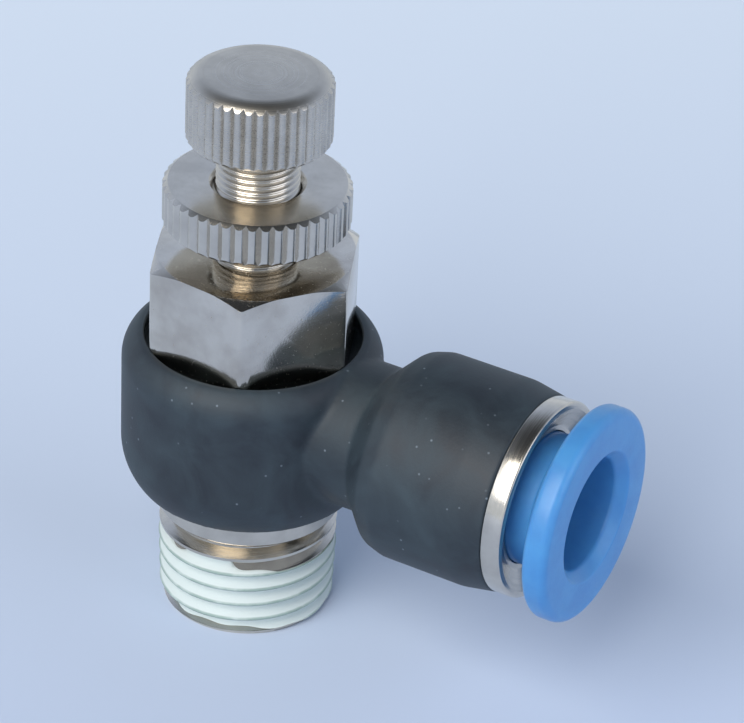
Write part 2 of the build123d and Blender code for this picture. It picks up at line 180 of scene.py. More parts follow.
def bulge(wall_r, wall_z, end_r, end_z, steps):
    """Arc that leaves a straight wall at its tangent and ends at a lesser radius."""
    inset = wall_r - end_r
    rise = end_z - wall_z
    arc_r = (inset**2 + rise**2) / (2 * inset)
    sweep = math.asin(rise / arc_r)
    arc = []
    for step in range(steps + 1):
        angle = sweep * step / steps
        arc.append((wall_r - arc_r + arc_r * math.cos(angle), wall_z + arc_r * math.sin(angle)))
    return arc


def drawn(name, outline, along_arm=False):
    """Object with one open line of edges through (radius, place) points."""
    deselect_all()
    if along_arm:
        points = [Vector((place, 0, ARM_Z + radius)) * MM for radius, place in outline]
    else:
        points = [Vector((radius, 0, place)) * MM for radius, place in outline]
    bpy.ops.mesh.primitive_plane_add(size=MM)
    piece = bpy.context.object
    piece.name = piece.data.name = name
    bpy.ops.object.mode_set(mode="EDIT")
    bpy.ops.mesh.select_mode(type="VERT")
    bpy.ops.mesh.select_all(action="SELECT")
    bpy.ops.mesh.merge(type="CENTER")
    bpy.ops.transform.translate(value=points[0])
    for here, there in zip(points, points[1:]):
        bpy.ops.mesh.extrude_region_move(TRANSFORM_OT_translate={"value": there - here})
    bpy.ops.object.mode_set(mode="OBJECT")
    return piece


def turned(name, points, steps=128, along_arm=False, hollow=False, arc_steps=4):
    """Solid of revolution of an outline. A hollow one is a ring, so its outline is closed."""
    outline = softened(points, arc_steps)
    if hollow:
        outline.append(outline[0])
    piece = drawn(name, outline, along_arm)
    bpy.ops.object.mode_set(mode="EDIT")
    bpy.ops.mesh.select_all(action="SELECT")
    bpy.ops.mesh.spin(
        steps=steps,
        angle=math.tau,
        center=(0, 0, ARM_Z * MM),
        axis=(1, 0, 0) if along_arm else (0, 0, 1),
    )
    bpy.ops.object.mode_set(mode="OBJECT")
    close_up(piece)
    return piece


def threaded_rod(name, crest_r, depth, pitch, low, high, sharpness, steps=96, phase=0.0):
    """Right-hand threaded rod that reaches a little past both heights.

    A sharpness above 1 widens the flats on crests and roots. The phase is the height of
    a crest on the +X side.
    """
    per_pitch = 12
    first = (math.floor(low / pitch) - 2) * pitch + phase
    outline = [(0, first)]
    for index in range(math.ceil((high - first) / pitch + 0.5) * per_pitch):
        ridge = abs((index / per_pitch % 1) * 4 - 2) - 1
        level = max(-1, min(1, ridge * sharpness))
        radius = crest_r - depth * (1 - level) / 2
        outline.append((radius, first + index * pitch / per_pitch))
    outline.append((0, outline[-1][1]))
    rod = drawn(name, outline)
    apply_modifier(
        rod,
        "SCREW",
        axis="Z",
        angle=math.tau,
        screw_offset=pitch * MM,
        steps=steps,
        render_steps=steps,
        use_merge_vertices=False,
    )
    close_up(rod)
    bpy.ops.object.mode_set(mode="EDIT")
    bpy.ops.mesh.select_all(action="SELECT")
    bpy.ops.mesh.fill_holes(sides=0)
    bpy.ops.object.mode_set(mode="OBJECT")
    close_up(rod)
    return rod


def tapered(piece, radius):
    """Widen a rod about its axis as a pipe thread widens, from a radius at height 0."""
    heights = [vertex.co.z for vertex in piece.data.vertices]
    reach = max(heights) - min(heights)
    apply_modifier(
        piece,
        "SIMPLE_DEFORM",
        deform_method="TAPER",
        deform_axis="Z",
        factor=reach * TAPER / (radius * MM),
    )


def knurled_bar(name, radius, grooves, depth, bottom, top):
    """Round bar with straight grooves between rounded lands."""
    per_groove = 8
    count = grooves * per_groove
    middle = (bottom + top) / 2
    deselect_all()
    bpy.ops.mesh.primitive_cylinder_add(
        vertices=count,
        radius=radius * MM,
        depth=(top - bottom) * MM,
        location=(0, 0, middle * MM),
    )
    bar = bpy.context.object
    bar.name = bar.data.name = name
    bpy.ops.object.transform_apply(location=True, rotation=True, scale=True)
    for away, share in enumerate(KNURL_SHARES):
        bpy.ops.object.mode_set(mode="EDIT")
        bpy.ops.mesh.select_mode(type="VERT")
        bpy.ops.mesh.select_all(action="DESELECT")
        bpy.ops.object.mode_set(mode="OBJECT")
        for vertex in bar.data.vertices:
            index = round(math.atan2(vertex.co.y, vertex.co.x) / math.tau * count)
            place = index % per_groove
            vertex.select = min(place, per_groove - place) == away
        shrink = (radius - depth * share) / radius
        bpy.ops.object.mode_set(mode="EDIT")
        bpy.ops.transform.resize(
            value=(shrink, shrink, 1), center_override=(0, 0, middle * MM)
        )
        bpy.ops.object.mode_set(mode="OBJECT")
    close_up(bar)
    return bar


def finish_piece(piece, node, material, smooth_angle=38):
    """Give a finished piece its finish, and let it stand for a solid of the frame."""
    piece.name = piece.data.name = f"{node}_finish"
    piece.data.materials.clear()
    piece.data.materials.append(material)
    for polygon in piece.data.polygons:
        polygon.material_index = 0
    pick(piece)
    bpy.ops.object.shade_smooth_by_angle(angle=math.radians(smooth_angle))
    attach(piece, body_of(node))
    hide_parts(node)
    deselect_all()


# ---------------------------------------------------------------------- materials
def linear(colour):
    """Linear RGBA of an sRGB colour written as RRGGBB."""
    channels = [int(colour[place : place + 2], 16) / 255 for place in (0, 2, 4)]
    line = [c / 12.92 if c <= 0.04045 else ((c + 0.055) / 1.055) ** 2.4 for c in channels]
    return (*line, 1)


def feed(tree, node, inputs):
    """Set a node's inputs, each to a value or to the socket that feeds it."""
    for key, value in inputs.items():
        if isinstance(value, bpy.types.NodeSocket):
            tree.links.new(value, node.inputs[key])
        else:
            node.inputs[key].default_value = value


def add(tree, kind, inputs=None, **settings):
    """Add a node with its settings and inputs."""
    node = tree.nodes.new(kind)
    for setting, value in settings.items():
        setattr(node, setting, value)
    feed(tree, node, inputs or {})
    return node


def new_material(name):
    """Material with its node tree, its shader and its Object coordinates."""
    material = bpy.data.materials.new(name)
    material.use_nodes = True
    tree = material.node_tree
    tree.nodes.clear()
    shader = add(tree, "ShaderNodeBsdfPrincipled")
    add(tree, "ShaderNodeOutputMaterial", {"Surface": shader.outputs["BSDF"]})
    place = add(tree, "ShaderNodeTexCoord").outputs["Object"]
    return material, tree, shader, place


def ramp_stops(ramp, *stops):
    """Put the stops of a colour ramp at their places."""
    elements = ramp.color_ramp.elements
    while len(elements) > len(stops):
        elements.remove(elements[-1])
    while len(elements) < len(stops):
        elements.new(1)
    for element, (position, colour) in zip(elements, stops):
        element.position = position
        element.color = colour
    return ramp.outputs["Color"]


def off_axis(tree, place, axis="Z"):
    """Distance from one of the axes, and the place along it."""
    parts = add(tree, "ShaderNodeSeparateXYZ", {"Vector": place}).outputs
    first, second = (parts[name] for name in "XYZ" if name != axis)
    flat = add(tree, "ShaderNodeCombineXYZ", {"X": first, "Y": second})
    radius = add(
        tree, "ShaderNodeVectorMath", {0: flat.outputs["Vector"]}, operation="LENGTH"
    ).outputs["Value"]
    return radius, parts[axis]


def lathe_marks(tree, place, spacing, along_arm=False):
    """Noise that runs in rings round a turned piece, one line about every spacing."""
    if along_arm:
        place = add(
            tree,
            "ShaderNodeMapping",
            {"Vector": place, "Location": (0, 0, -ARM_Z * MM)},
        ).outputs["Vector"]
    radius, along = off_axis(tree, place, "X" if along_arm else "Z")
    rings = add(tree, "ShaderNodeCombineXYZ", {"X": radius, "Y": along})
    return add(
        tree,
        "ShaderNodeTexNoise",
        {
            "Vector": rings.outputs["Vector"],
            "Scale": 1 / (spacing * MM),
            "Detail": 3.0,
            "Roughness": 0.6,
        },
    ).outputs["Fac"]


def turned_nickel(name, colour, roughness, mark_height, along_arm=False):
    """Metal left by the lathe, bare or nickel plated: warm mirror broken by fine rings.

    The tool leaves a line every 0.05 mm or so, drawn at 0.14 mm so that it shows.
    """
    material, tree, shader, place = new_material(name)
    marks = lathe_marks(tree, place, 0.14, along_arm)
    cloud = add(
        tree,
        "ShaderNodeTexNoise",
        {"Vector": place, "Scale": 1 / (2.2 * MM), "Detail": 4.0, "Roughness": 0.65},
    ).outputs["Fac"]
    tone = add(tree, "ShaderNodeValToRGB", {"Fac": cloud})
    base = linear(colour)
    tarnish = tuple(channel * 0.86 for channel in base[:3]) + (1,)
    spread = add(
        tree,
        "ShaderNodeMapRange",
        {"Value": marks, "From Min": 0.3, "From Max": 0.7, "To Min": roughness * 0.7,
         "To Max": roughness * 1.35},
    ).outputs["Result"]
    bump = add(
        tree,
        "ShaderNodeBump",
        {"Height": marks, "Strength": 0.35, "Distance": mark_height * MM},
    ).outputs["Normal"]
    feed(
        tree,
        shader,
        {
            "Base Color": ramp_stops(tone, (0.35, tarnish), (0.62, base)),
            "Metallic": 1.0,
            "Roughness": spread,
            "Normal": bump,
        },
    )
    return material


def bright_nickel():
    """Bright nickel over a drawn hexagon bar: near mirror with tiny pits and specks.

    Pits of about 0.05 mm are drawn at 0.15 mm so that they show.
    """
    material, tree, shader, place = new_material("bright_nickel_on_drawn_hexagon")
    fine = add(
        tree,
        "ShaderNodeTexNoise",
        {"Vector": place, "Scale": 1 / (0.15 * MM), "Detail": 2.0, "Roughness": 0.5},
    ).outputs["Fac"]
    wavy = add(
        tree,
        "ShaderNodeTexNoise",
        {"Vector": place, "Scale": 1 / (3.0 * MM), "Detail": 3.0, "Roughness": 0.55},
    ).outputs["Fac"]
    pits = add(
        tree,
        "ShaderNodeMapRange",
        {"Value": fine, "From Min": 0.27, "From Max": 0.36, "To Min": 0.30, "To Max": 0.12},
    ).outputs["Result"]
    tone = add(tree, "ShaderNodeValToRGB", {"Fac": wavy})
    relief = add(
        tree,
        "ShaderNodeMath",
        {0: wavy, 1: 4.0, 2: fine},
        operation="MULTIPLY_ADD",
    ).outputs["Value"]
    bump = add(
        tree,
        "ShaderNodeBump",
        {"Height": relief, "Strength": 0.14, "Distance": 0.02 * MM},
    ).outputs["Normal"]
    feed(
        tree,
        shader,
        {
            "Base Color": ramp_stops(tone, (0.3, linear("C0B8AC")), (0.6, linear("D8D1C5"))),
            "Metallic": 1.0,
            "Roughness": pits,
            "Normal": bump,
        },
    )
    return material


def housing_plastic():
    """Glass-filled PBT, moulded black: matt slate sheen, fine spark texture, light dust.

    The spark texture's grain is about 0.1 mm and is drawn at 0.22 mm so that it shows.
    The dust specks are 0.1 to 0.3 mm.
    """
    material, tree, shader, place = new_material("moulded_black_pbt")
    grain = add(
        tree,
        "ShaderNodeTexNoise",
        {"Vector": place, "Scale": 1 / (0.22 * MM), "Detail": 4.0, "Roughness": 0.7},
    ).outputs["Fac"]
    flow = add(
        tree,
        "ShaderNodeTexNoise",
        {"Vector": place, "Scale": 1 / (5.0 * MM), "Detail": 5.0, "Roughness": 0.6,
         "Distortion": 0.6},
    ).outputs["Fac"]
    body = add(tree, "ShaderNodeValToRGB", {"Fac": flow})
    body = ramp_stops(body, (0.32, linear("1B232B")), (0.68, linear("313E45")))
    specks = add(
        tree,
        "ShaderNodeTexVoronoi",
        {"Vector": place, "Scale": 1 / (0.85 * MM), "Randomness": 1.0},
        feature="F1",
    )
    near = add(
        tree,
        "ShaderNodeMapRange",
        {"Value": specks.outputs["Distance"], "From Min": 0.05, "From Max": 0.13,
         "To Min": 1.0, "To Max": 0.0},
    ).outputs["Result"]
    chosen = add(
        tree, "ShaderNodeSeparateColor", {"Color": specks.outputs["Color"]}
    ).outputs["Red"]
    some = add(
        tree,
        "ShaderNodeMapRange",
        {"Value": chosen, "From Min": 0.6, "From Max": 0.95, "To Min": 0.0, "To Max": 0.5},
    ).outputs["Result"]
    dust = add(tree, "ShaderNodeMath", {0: near, 1: some}, operation="MULTIPLY").outputs["Value"]
    colour = add(
        tree,
        "ShaderNodeMix",
        {"Factor": dust, "A": body, "B": linear("8D99A3")},
        data_type="RGBA",
    ).outputs["Result"]
    sheen = add(
        tree,
        "ShaderNodeMapRange",
        {"Value": flow, "From Min": 0.3, "From Max": 0.7, "To Min": 0.50, "To Max": 0.64},
    ).outputs["Result"]
    bump = add(
        tree,
        "ShaderNodeBump",
        {"Height": grain, "Strength": 0.45, "Distance": 0.03 * MM},
    ).outputs["Normal"]
    feed(tree, shader, {"Base Color": colour, "Roughness": sheen, "IOR": 1.5, "Normal": bump})
    return material


def plain_resin(name, colour, shade, roughness, grain_mm, grain_height, scatter=0.0, ior=1.49):
    """Moulded resin or rubber, lightly clouded, with a fine grain."""
    material, tree, shader, place = new_material(name)
    cloud = add(
        tree,
        "ShaderNodeTexNoise",
        {"Vector": place, "Scale": 1 / (2.5 * MM), "Detail": 4.0, "Roughness": 0.6},
    ).outputs["Fac"]
    tone = add(tree, "ShaderNodeValToRGB", {"Fac": cloud})
    grain = add(
        tree,
        "ShaderNodeTexNoise",
        {"Vector": place, "Scale": 1 / (grain_mm * MM), "Detail": 3.0, "Roughness": 0.6},
    ).outputs["Fac"]
    spread = add(
        tree,
        "ShaderNodeMapRange",
        {"Value": grain, "From Min": 0.3, "From Max": 0.7, "To Min": roughness * 0.85,
         "To Max": roughness * 1.15},
    ).outputs["Result"]
    bump = add(
        tree,
        "ShaderNodeBump",
        {"Height": grain, "Strength": 0.4, "Distance": grain_height * MM},
    ).outputs["Normal"]
    feed(
        tree,
        shader,
        {
            "Base Color": ramp_stops(tone, (0.3, linear(shade)), (0.65, linear(colour))),
            "Roughness": spread,
            "IOR": ior,
            "Normal": bump,
        },
    )
    if scatter:
        feed(
            tree,
            shader,
            {
                "Subsurface Weight": scatter,
                "Subsurface Radius": (0.3, 0.6, 1.0),
                "Subsurface Scale": 1.2 * MM,
            },
        )
    return material


def sealant_finish(film):
    """Dried acrylic thread sealant: chalky white, with a painted greenish grey shade on the
    crests, patchy by a cloud noise.
    """
    material, tree, shader, place = new_material("dried_acrylic_thread_sealant")
    radius, height = off_axis(tree, place)
    # The taper is taken off the radius, so that one value marks the crests all the way up
    straight = add(
        tree,
        "ShaderNodeMath",
        {0: height, 1: -TAPER, 2: radius},
        operation="MULTIPLY_ADD",
    ).outputs["Value"]
    crest_r = THREAD_R + film
    crest = add(
        tree,
        "ShaderNodeMapRange",
        {"Value": straight, "From Min": (crest_r - 0.16) * MM, "From Max": (crest_r - 0.02) * MM},
    ).outputs["Result"]
    cloud = add(
        tree,
        "ShaderNodeTexNoise",
        {"Vector": place, "Scale": 1 / (1.8 * MM), "Detail": 4.0, "Roughness": 0.6},
    ).outputs["Fac"]
    # Painted shade: the crests are darkened to greenish grey, in patches set by the cloud noise
    crest_painted_shade = add(
        tree, "ShaderNodeMath", {0: crest, 1: cloud}, operation="MULTIPLY", use_clamp=True
    ).outputs["Value"]
    tone = add(tree, "ShaderNodeValToRGB", {"Fac": crest_painted_shade})
    grain = add(
        tree,
        "ShaderNodeTexNoise",
        {"Vector": place, "Scale": 1 / (0.3 * MM), "Detail": 3.0, "Roughness": 0.6},
    ).outputs["Fac"]
    bump = add(
        tree,
        "ShaderNodeBump",
        {"Height": grain, "Strength": 0.4, "Distance": 0.04 * MM},
    ).outputs["Normal"]
    feed(
        # White of the coat, then the greenish grey of the painted shade on the crests
        tree,
        shader,
        {
            "Base Color": ramp_stops(tone, (0.08, linear("D0D9D6")), (0.50, linear("8FA39C"))),
            "Roughness": 0.55,
            "IOR": 1.48,
            "Normal": bump,
        },
    )
    return material


# ---------------------------------------------------------------------- properties
def length(name, description, size):
    """Property that holds a length, whose default is given in millimetres."""
    return bpy.props.FloatProperty(
        name=name,
        description=description,
        default=size * MM,
        subtype="DISTANCE",
        unit="LENGTH",
    )


class ValveSizes(bpy.types.PropertyGroup):
    """Sizes of the finish that a user may change."""

    wall_grid: length(
        "Housing grid", "Spacing of the grid that blends the neck into the barrel", 0.16
    )
    hex_edge: length("Hexagon edge", "Width of the hexagon's rounded vertical edges", 0.40)
    nut_groove: length("Nut groove", "Depth of the lock nut's knurl", 0.32)
    knob_groove: length("Knob groove", "Depth of the adjusting knob's knurl", 0.30)
    sealant_film: length(
        "Sealant film", "Thickness of the dried coat on the taper thread", 0.07
    )
    nut_grooves: bpy.props.IntProperty(
        name="Nut grooves", description="Grooves round the lock nut", default=44, min=12
    )
    knob_grooves: bpy.props.IntProperty(
        name="Knob grooves", description="Grooves round the adjusting knob", default=40, min=12
    )


class ValveColours(bpy.types.PropertyGroup):
    """Colours that a user may change, written as RRGGBB in sRGB."""

    release_blue: bpy.props.StringProperty(
        name="Release ring", description="Blue of the release ring", default="4D91C9"
    )
    # The two floor colours paint a light gradient: the near one is darker as painted shade, the
    # far one paler as painted light
    floor_near_painted_shade: bpy.props.StringProperty(
        name="Floor, near", description="Pale blue of the floor before the valve", default="C0CDE3"
    )
    floor_far_painted_light: bpy.props.StringProperty(
        name="Floor, far", description="Paler blue of the floor behind the valve", default="E6F0FA"
    )


# ----------------------------------------------------------------------- operators
class VALVE_OT_elbow_housing(bpy.types.Operator):
    """Mould the elbow: barrel, neck and socket blended in one, then bored"""

    bl_idname = "valve.elbow_housing"
    bl_label = "Elbow housing"

    def execute(self, context):
        low, high = corners("elbow_housing")
        barrel_r = -low.x
        socket_r = high.z - ARM_Z
        socket_end = high.x
        foot_r = barrel_r - 1.19
        foot_height = 3.36
        rim_r = barrel_r - 1.20
        shoulder_height = 2.07
        foot = bulge(barrel_r, BARREL_BOTTOM + foot_height, foot_r, BARREL_BOTTOM, 12)
        shoulder = bulge(barrel_r, RIM_TOP - shoulder_height, rim_r, RIM_TOP, 10)
        barrel = turned(
            "elbow_housing",
            # The foot's arc runs down from the wall, so it is reversed, less its end
            [(0, BARREL_BOTTOM), (foot_r, BARREL_BOTTOM), *foot[-2::-1], *shoulder, (0, RIM_TOP)],
            steps=160,
        )
        neck_start, neck_end, neck_r = 2.8, 11.20, 5.41
        arm = turned(
            "arm",
            [
                (0, neck_start),
                (neck_r, neck_start),
                (neck_r, neck_end, 0.35),
                (socket_r - 0.35, neck_end + 1.87, 0.8),
                (socket_r, neck_end + 3.08, 1.4),
                (socket_r, socket_end - 2.43, 2.8),
                (socket_r - 0.42, socket_end, 0.15),
                (0, socket_end),
            ],
            steps=160,
            along_arm=True,
        )
        housing = combine(barrel, arm, "UNION")
        grid = context.scene.valve_sizes.wall_grid
        apply_modifier(housing, "REMESH", mode="VOXEL", voxel_size=grid, adaptivity=0.0)
        self.soften_creases(housing, barrel_r, neck_r)
        collar_bore_r = corners("threaded_stem")[1].x + RUNNING_GAP
        stem_bore_r = STEM_NECK_R + RUNNING_GAP
        chamber_r = 7.37
        hex_recess_r = barrel_r - 1.23
        lip_r = HEX_FOOT_R + 0.08
        bore = turned(
            "stem_bore",
            [
                (0, BARREL_BOTTOM - 1),
                (collar_bore_r + 0.12, BARREL_BOTTOM - 1),
                (collar_bore_r + 0.12, BARREL_BOTTOM + 0.08),
                (collar_bore_r, BARREL_BOTTOM + 0.22),
                (collar_bore_r, COLLAR_TOP + 0.10),
                (stem_bore_r, COLLAR_TOP + 0.10),
                (stem_bore_r, CHAMBER_BOTTOM),
                (chamber_r, CHAMBER_BOTTOM),
                (chamber_r, CHAMBER_TOP),
                (stem_bore_r, CHAMBER_TOP),
                (stem_bore_r, HEX_BOTTOM - 0.10),
                (hex_recess_r, HEX_BOTTOM - 0.10),
                (hex_recess_r, RIM_TOP - 0.45),
                (lip_r, RIM_TOP - 0.30),
                (lip_r, RIM_TOP - 0.08),
                (lip_r + 0.08, RIM_TOP),
                (lip_r + 0.08, RIM_TOP + 4),
                (0, RIM_TOP + 4),
            ],
            steps=160,
        )
        combine(housing, bore, "DIFFERENCE")
        passage_r, passage_start = 2.71, 4.7
        tube_stop, tube_pocket_end = 11.57, 14.37
        seal_seat_r, seal_seat_end = 6.15, 16.80
        socket = turned(
            "socket_bore",
            [
                (0, passage_start),
                (passage_r, passage_start),
                (passage_r, tube_stop),
                (TUBE_R, tube_stop),
                (TUBE_R, tube_pocket_end),
                (seal_seat_r, tube_pocket_end),
                (seal_seat_r, seal_seat_end),
                (SPIGOT_R, seal_seat_end),
                (SPIGOT_R, socket_end - 0.11),
                (SPIGOT_R + 0.11, socket_end),
                (SPIGOT_R + 0.11, socket_end + 1),
                (0, socket_end + 1),
            ],
            steps=160,
            along_arm=True,
        )
        combine(housing, socket, "DIFFERENCE")
        finish_piece(housing, "elbow_housing", housing_plastic(), 32)
        return {"FINISHED"}

    @staticmethod
    def soften_creases(housing, barrel_r, neck_r):
        """Smooth the whole skin a little, and more where the neck meets the barrel."""
        apply_modifier(housing, "SMOOTH", factor=0.5, iterations=2)
        crease_reach = 0.8
        crease = housing.vertex_groups.new(name="crease")
        for vertex in housing.data.vertices:
            x, y, z = vertex.co / MM
            from_barrel = abs(math.hypot(x, y) - barrel_r)
            from_neck = abs(math.hypot(y, z - ARM_Z) - neck_r)
            near = 1 - max(from_barrel, from_neck) / crease_reach
            if x > 0 and near > 0:
                crease.add([vertex.index], min(1, near * 1.6), "REPLACE")
        apply_modifier(housing, "SMOOTH", factor=0.6, iterations=14, vertex_group="crease")
        housing.vertex_groups.clear()


class VALVE_OT_threaded_stem(bpy.types.Operator):
    """Turn the stem: collar, relief groove and a helical taper thread"""

    bl_idname = "valve.threaded_stem"
    bl_label = "Threaded stem"

    def execute(self, context):
        low, high = corners("threaded_stem")
        collar_r = high.x
        relief_height = 0.62
        collar_bottom = THREAD_LENGTH + relief_height
        crest_end_r = THREAD_R + THREAD_LENGTH * TAPER
        rod = threaded_rod(
            "threaded_stem",
            THREAD_R,
            THREAD_DEPTH,
            THREAD_PITCH,
            low=0,
            high=THREAD_LENGTH + 0.6,
            sharpness=1.45,
            steps=128,
            phase=THREAD_PHASE,
        )
        tapered(rod, THREAD_R)
        envelope = turned(
            "envelope",
            [
                (0, low.z),
                (THREAD_R - 0.27, low.z, 0.06),
                (THREAD_R + 0.02, 0.55),
                (crest_end_r, THREAD_LENGTH - 0.40),
                (crest_end_r - 0.75, THREAD_LENGTH - 0.05),
                (crest_end_r - 1.4, THREAD_LENGTH + 0.25),
                (0, THREAD_LENGTH + 0.25),
            ],
        )
        combine(rod, envelope, "INTERSECT")
        relief_r = crest_end_r - THREAD_DEPTH - 0.23
        neck = turned(
            "collar",
            [
                (0, THREAD_LENGTH - 1.3),
                (relief_r - 0.05, THREAD_LENGTH - 1.3),
                (relief_r, THREAD_LENGTH),
                (relief_r, collar_bottom, 0.16),
                (collar_r - 0.20, collar_bottom, 0.10),
                (collar_r, collar_bottom + 0.22, 0.12),
                (collar_r, COLLAR_TOP),
                (STEM_NECK_R, COLLAR_TOP),
                (STEM_NECK_R, high.z),
                (0, high.z),
            ],
        )
        combine(rod, neck, "UNION")
        port_chamfer = 0.47
        shank_end = COLLAR_TOP - 1.40
        port = turned(
            "port",
            [
                (0, -1),
                (PORT_R + 0.6, -1),
                (PORT_R + port_chamfer, 0),
                (PORT_R, port_chamfer),
                (PORT_R, shank_end),
                (SHANK_R, shank_end),
                (SHANK_R, high.z + 1),
                (0, high.z + 1),
            ],
            steps=96,
        )
        combine(rod, port, "DIFFERENCE")
        material = turned_nickel("turned_nickel_on_stem", "D4CDC1", 0.17, 0.03)
        finish_piece(rod, "threaded_stem", material)
        return {"FINISHED"}


class VALVE_OT_thread_sealant(bpy.types.Operator):
    """Coat the middle turns of the taper thread with dried sealant"""

    bl_idname = "valve.thread_sealant"
    bl_label = "Thread sealant"

    def execute(self, context):
        high = corners("thread_sealant")[1]
        film = context.scene.valve_sizes.sealant_film / MM
        coat = threaded_rod(
            "thread_sealant",
            THREAD_R + film,
            THREAD_DEPTH - 0.06,
            THREAD_PITCH,
            low=0,
            high=high.z + 0.6,
            sharpness=1.30,
            steps=128,
            phase=THREAD_PHASE,
        )
        tapered(coat, THREAD_R + film)
        outer_r = high.x + 0.6
        inner_r = THREAD_R - THREAD_DEPTH - 0.2
        foot, edge = 0.50, high.z - 0.55
        band = turned(
            "band",
            [(inner_r, foot), (outer_r, foot), (outer_r, edge), (inner_r, edge)],
            steps=240,
            hollow=True,
        )
        # The upper edge slants and runs unevenly, as it was brushed on, and one dab
        # fills the next groove
        dab_turn, dab_half_width, dab_height = -88, 17, 0.80
        for vertex in band.data.vertices:
            angle = math.atan2(vertex.co.y, vertex.co.x)
            if vertex.co.z > (edge - 0.2) * MM:
                off_dab = (math.degrees(angle) - dab_turn) / dab_half_width
                ragged = dab_height / (1 + off_dab**8) + 0.06 * math.sin(5 * angle + 0.6)
                ragged += 0.04 * math.sin(13 * angle) + 0.12 * math.sin(angle + 2.4)
            else:
                ragged = 0.07 * math.sin(4 * angle) + 0.04 * math.sin(11 * angle)
            vertex.co.z += ragged * MM
        combine(coat, band, "INTERSECT")
        finish_piece(coat, "thread_sealant", sealant_finish(film), 50)
        return {"FINISHED"}


class VALVE_OT_hex_bonnet(bpy.types.Operator):
    """Cut the hexagonal bonnet from bar and turn its top to a cone"""

    bl_idname = "valve.hex_bonnet"
    bl_label = "Hexagonal bonnet"

    def execute(self, context):
        low, high = corners("hex_bonnet")
        corner_r = HEX_FLAT_R / math.cos(math.radians(30))
        deselect_all()
        bpy.ops.mesh.primitive_cylinder_add(
            vertices=6,
            radius=corner_r * MM,
            depth=(high.z - HEX_BOTTOM) * MM,
            location=(0, 0, (high.z + HEX_BOTTOM) / 2 * MM),
            # The primitive's corners lie 30 degrees away from +X
            rotation=(0, 0, math.radians(HEX_TURN + 30)),
        )
        bar = bpy.context.object
        bar.name = bar.data.name = "hex_bonnet"
        bpy.ops.object.transform_apply(location=True, rotation=True, scale=True)
        bpy.ops.object.mode_set(mode="EDIT")
        bpy.ops.mesh.select_mode(type="EDGE")
        bpy.ops.mesh.select_all(action="DESELECT")
        bpy.ops.object.mode_set(mode="OBJECT")
        for edge in bar.data.edges:
            ends = [bar.data.vertices[index].co for index in edge.vertices]
            edge.select = abs(ends[0].z - ends[1].z) > MM
        bpy.ops.object.mode_set(mode="EDIT")
        bpy.ops.mesh.bevel(
            offset=context.scene.valve_sizes.hex_edge / 2, segments=4, profile=0.5
        )
        bpy.ops.object.mode_set(mode="OBJECT")
        cone_r, cone_slope = 7.12, 26
        cone_drop = (corner_r + 1 - cone_r) * math.tan(math.radians(cone_slope))
        countersink = 0.33
        envelope = turned(
            "envelope",
            [
                (TAPPED_R, HEX_BOTTOM),
                (HEX_FOOT_R, HEX_BOTTOM),
                (HEX_FOOT_R, RIM_TOP - 0.15, 0.3),
                (corner_r, RIM_TOP + 0.30),
                (corner_r + 1, RIM_TOP + 1.3),
                (corner_r + 1, high.z - cone_drop),
                (cone_r, high.z, 0.25),
                (TAPPED_R + countersink, high.z, 0.05),
                (TAPPED_R, high.z - countersink),
            ],
            hollow=True,
        )
        combine(bar, envelope, "INTERSECT")
        apply_modifier(
            bar,
            "BEVEL",
            width=0.05 * MM,
            segments=2,
            limit_method="ANGLE",
            angle_limit=math.radians(24),
            miter_outer="MITER_ARC",
            use_clamp_overlap=True,
        )
        groove_r, groove_half = STEM_NECK_R - 1.07, 0.585
        groove_middle = (CHAMBER_TOP + HEX_BOTTOM) / 2
        shank = turned(
            "shank",
            [
                (SHANK_BORE_R, low.z),
                (SHANK_R, low.z),
                (SHANK_R, CHAMBER_TOP),
                (STEM_NECK_R, CHAMBER_TOP),
                (STEM_NECK_R, groove_middle - groove_half),
                (groove_r, groove_middle - groove_half),
                (groove_r, groove_middle + groove_half),
                (STEM_NECK_R, groove_middle + groove_half),
                (STEM_NECK_R, HEX_BOTTOM + 0.3),
                (SHANK_BORE_R, HEX_BOTTOM + 0.3),
            ],
            hollow=True,
        )
        combine(bar, shank, "UNION")
        finish_piece(bar, "hex_bonnet", bright_nickel(), 30)
        return {"FINISHED"}


class VALVE_OT_lock_nut(bpy.types.Operator):
    """Knurl the lock nut, then chamfer and countersink it"""

    bl_idname = "valve.lock_nut"
    bl_label = "Lock nut"

    def execute(self, context):
        sizes = context.scene.valve_sizes
        low, high = corners("lock_nut")
        radius = high.x
        nut = knurled_bar(
            "lock_nut", radius, sizes.nut_grooves, sizes.nut_groove / MM, low.z - 1, high.z + 1
        )
        countersink = 0.39
        envelope = turned(
            "envelope",
            [
                (TAPPED_R + countersink, low.z),
                (radius - 0.32, low.z, 0.05),
                (radius + 0.08, low.z + 0.40),
                (radius + 0.08, high.z - 0.34),
                (radius - 0.38, high.z, 0.06),
                (TAPPED_R + countersink, high.z, 0.05),
                (TAPPED_R, high.z - countersink),
                (TAPPED_R, low.z + countersink),
            ],
            hollow=True,
        )
        combine(nut, envelope, "INTERSECT")
        material = turned_nickel("turned_nickel_on_nut", "D4CDC1", 0.20, 0.02)
        finish_piece(nut, "lock_nut", material)
        return {"FINISHED"}


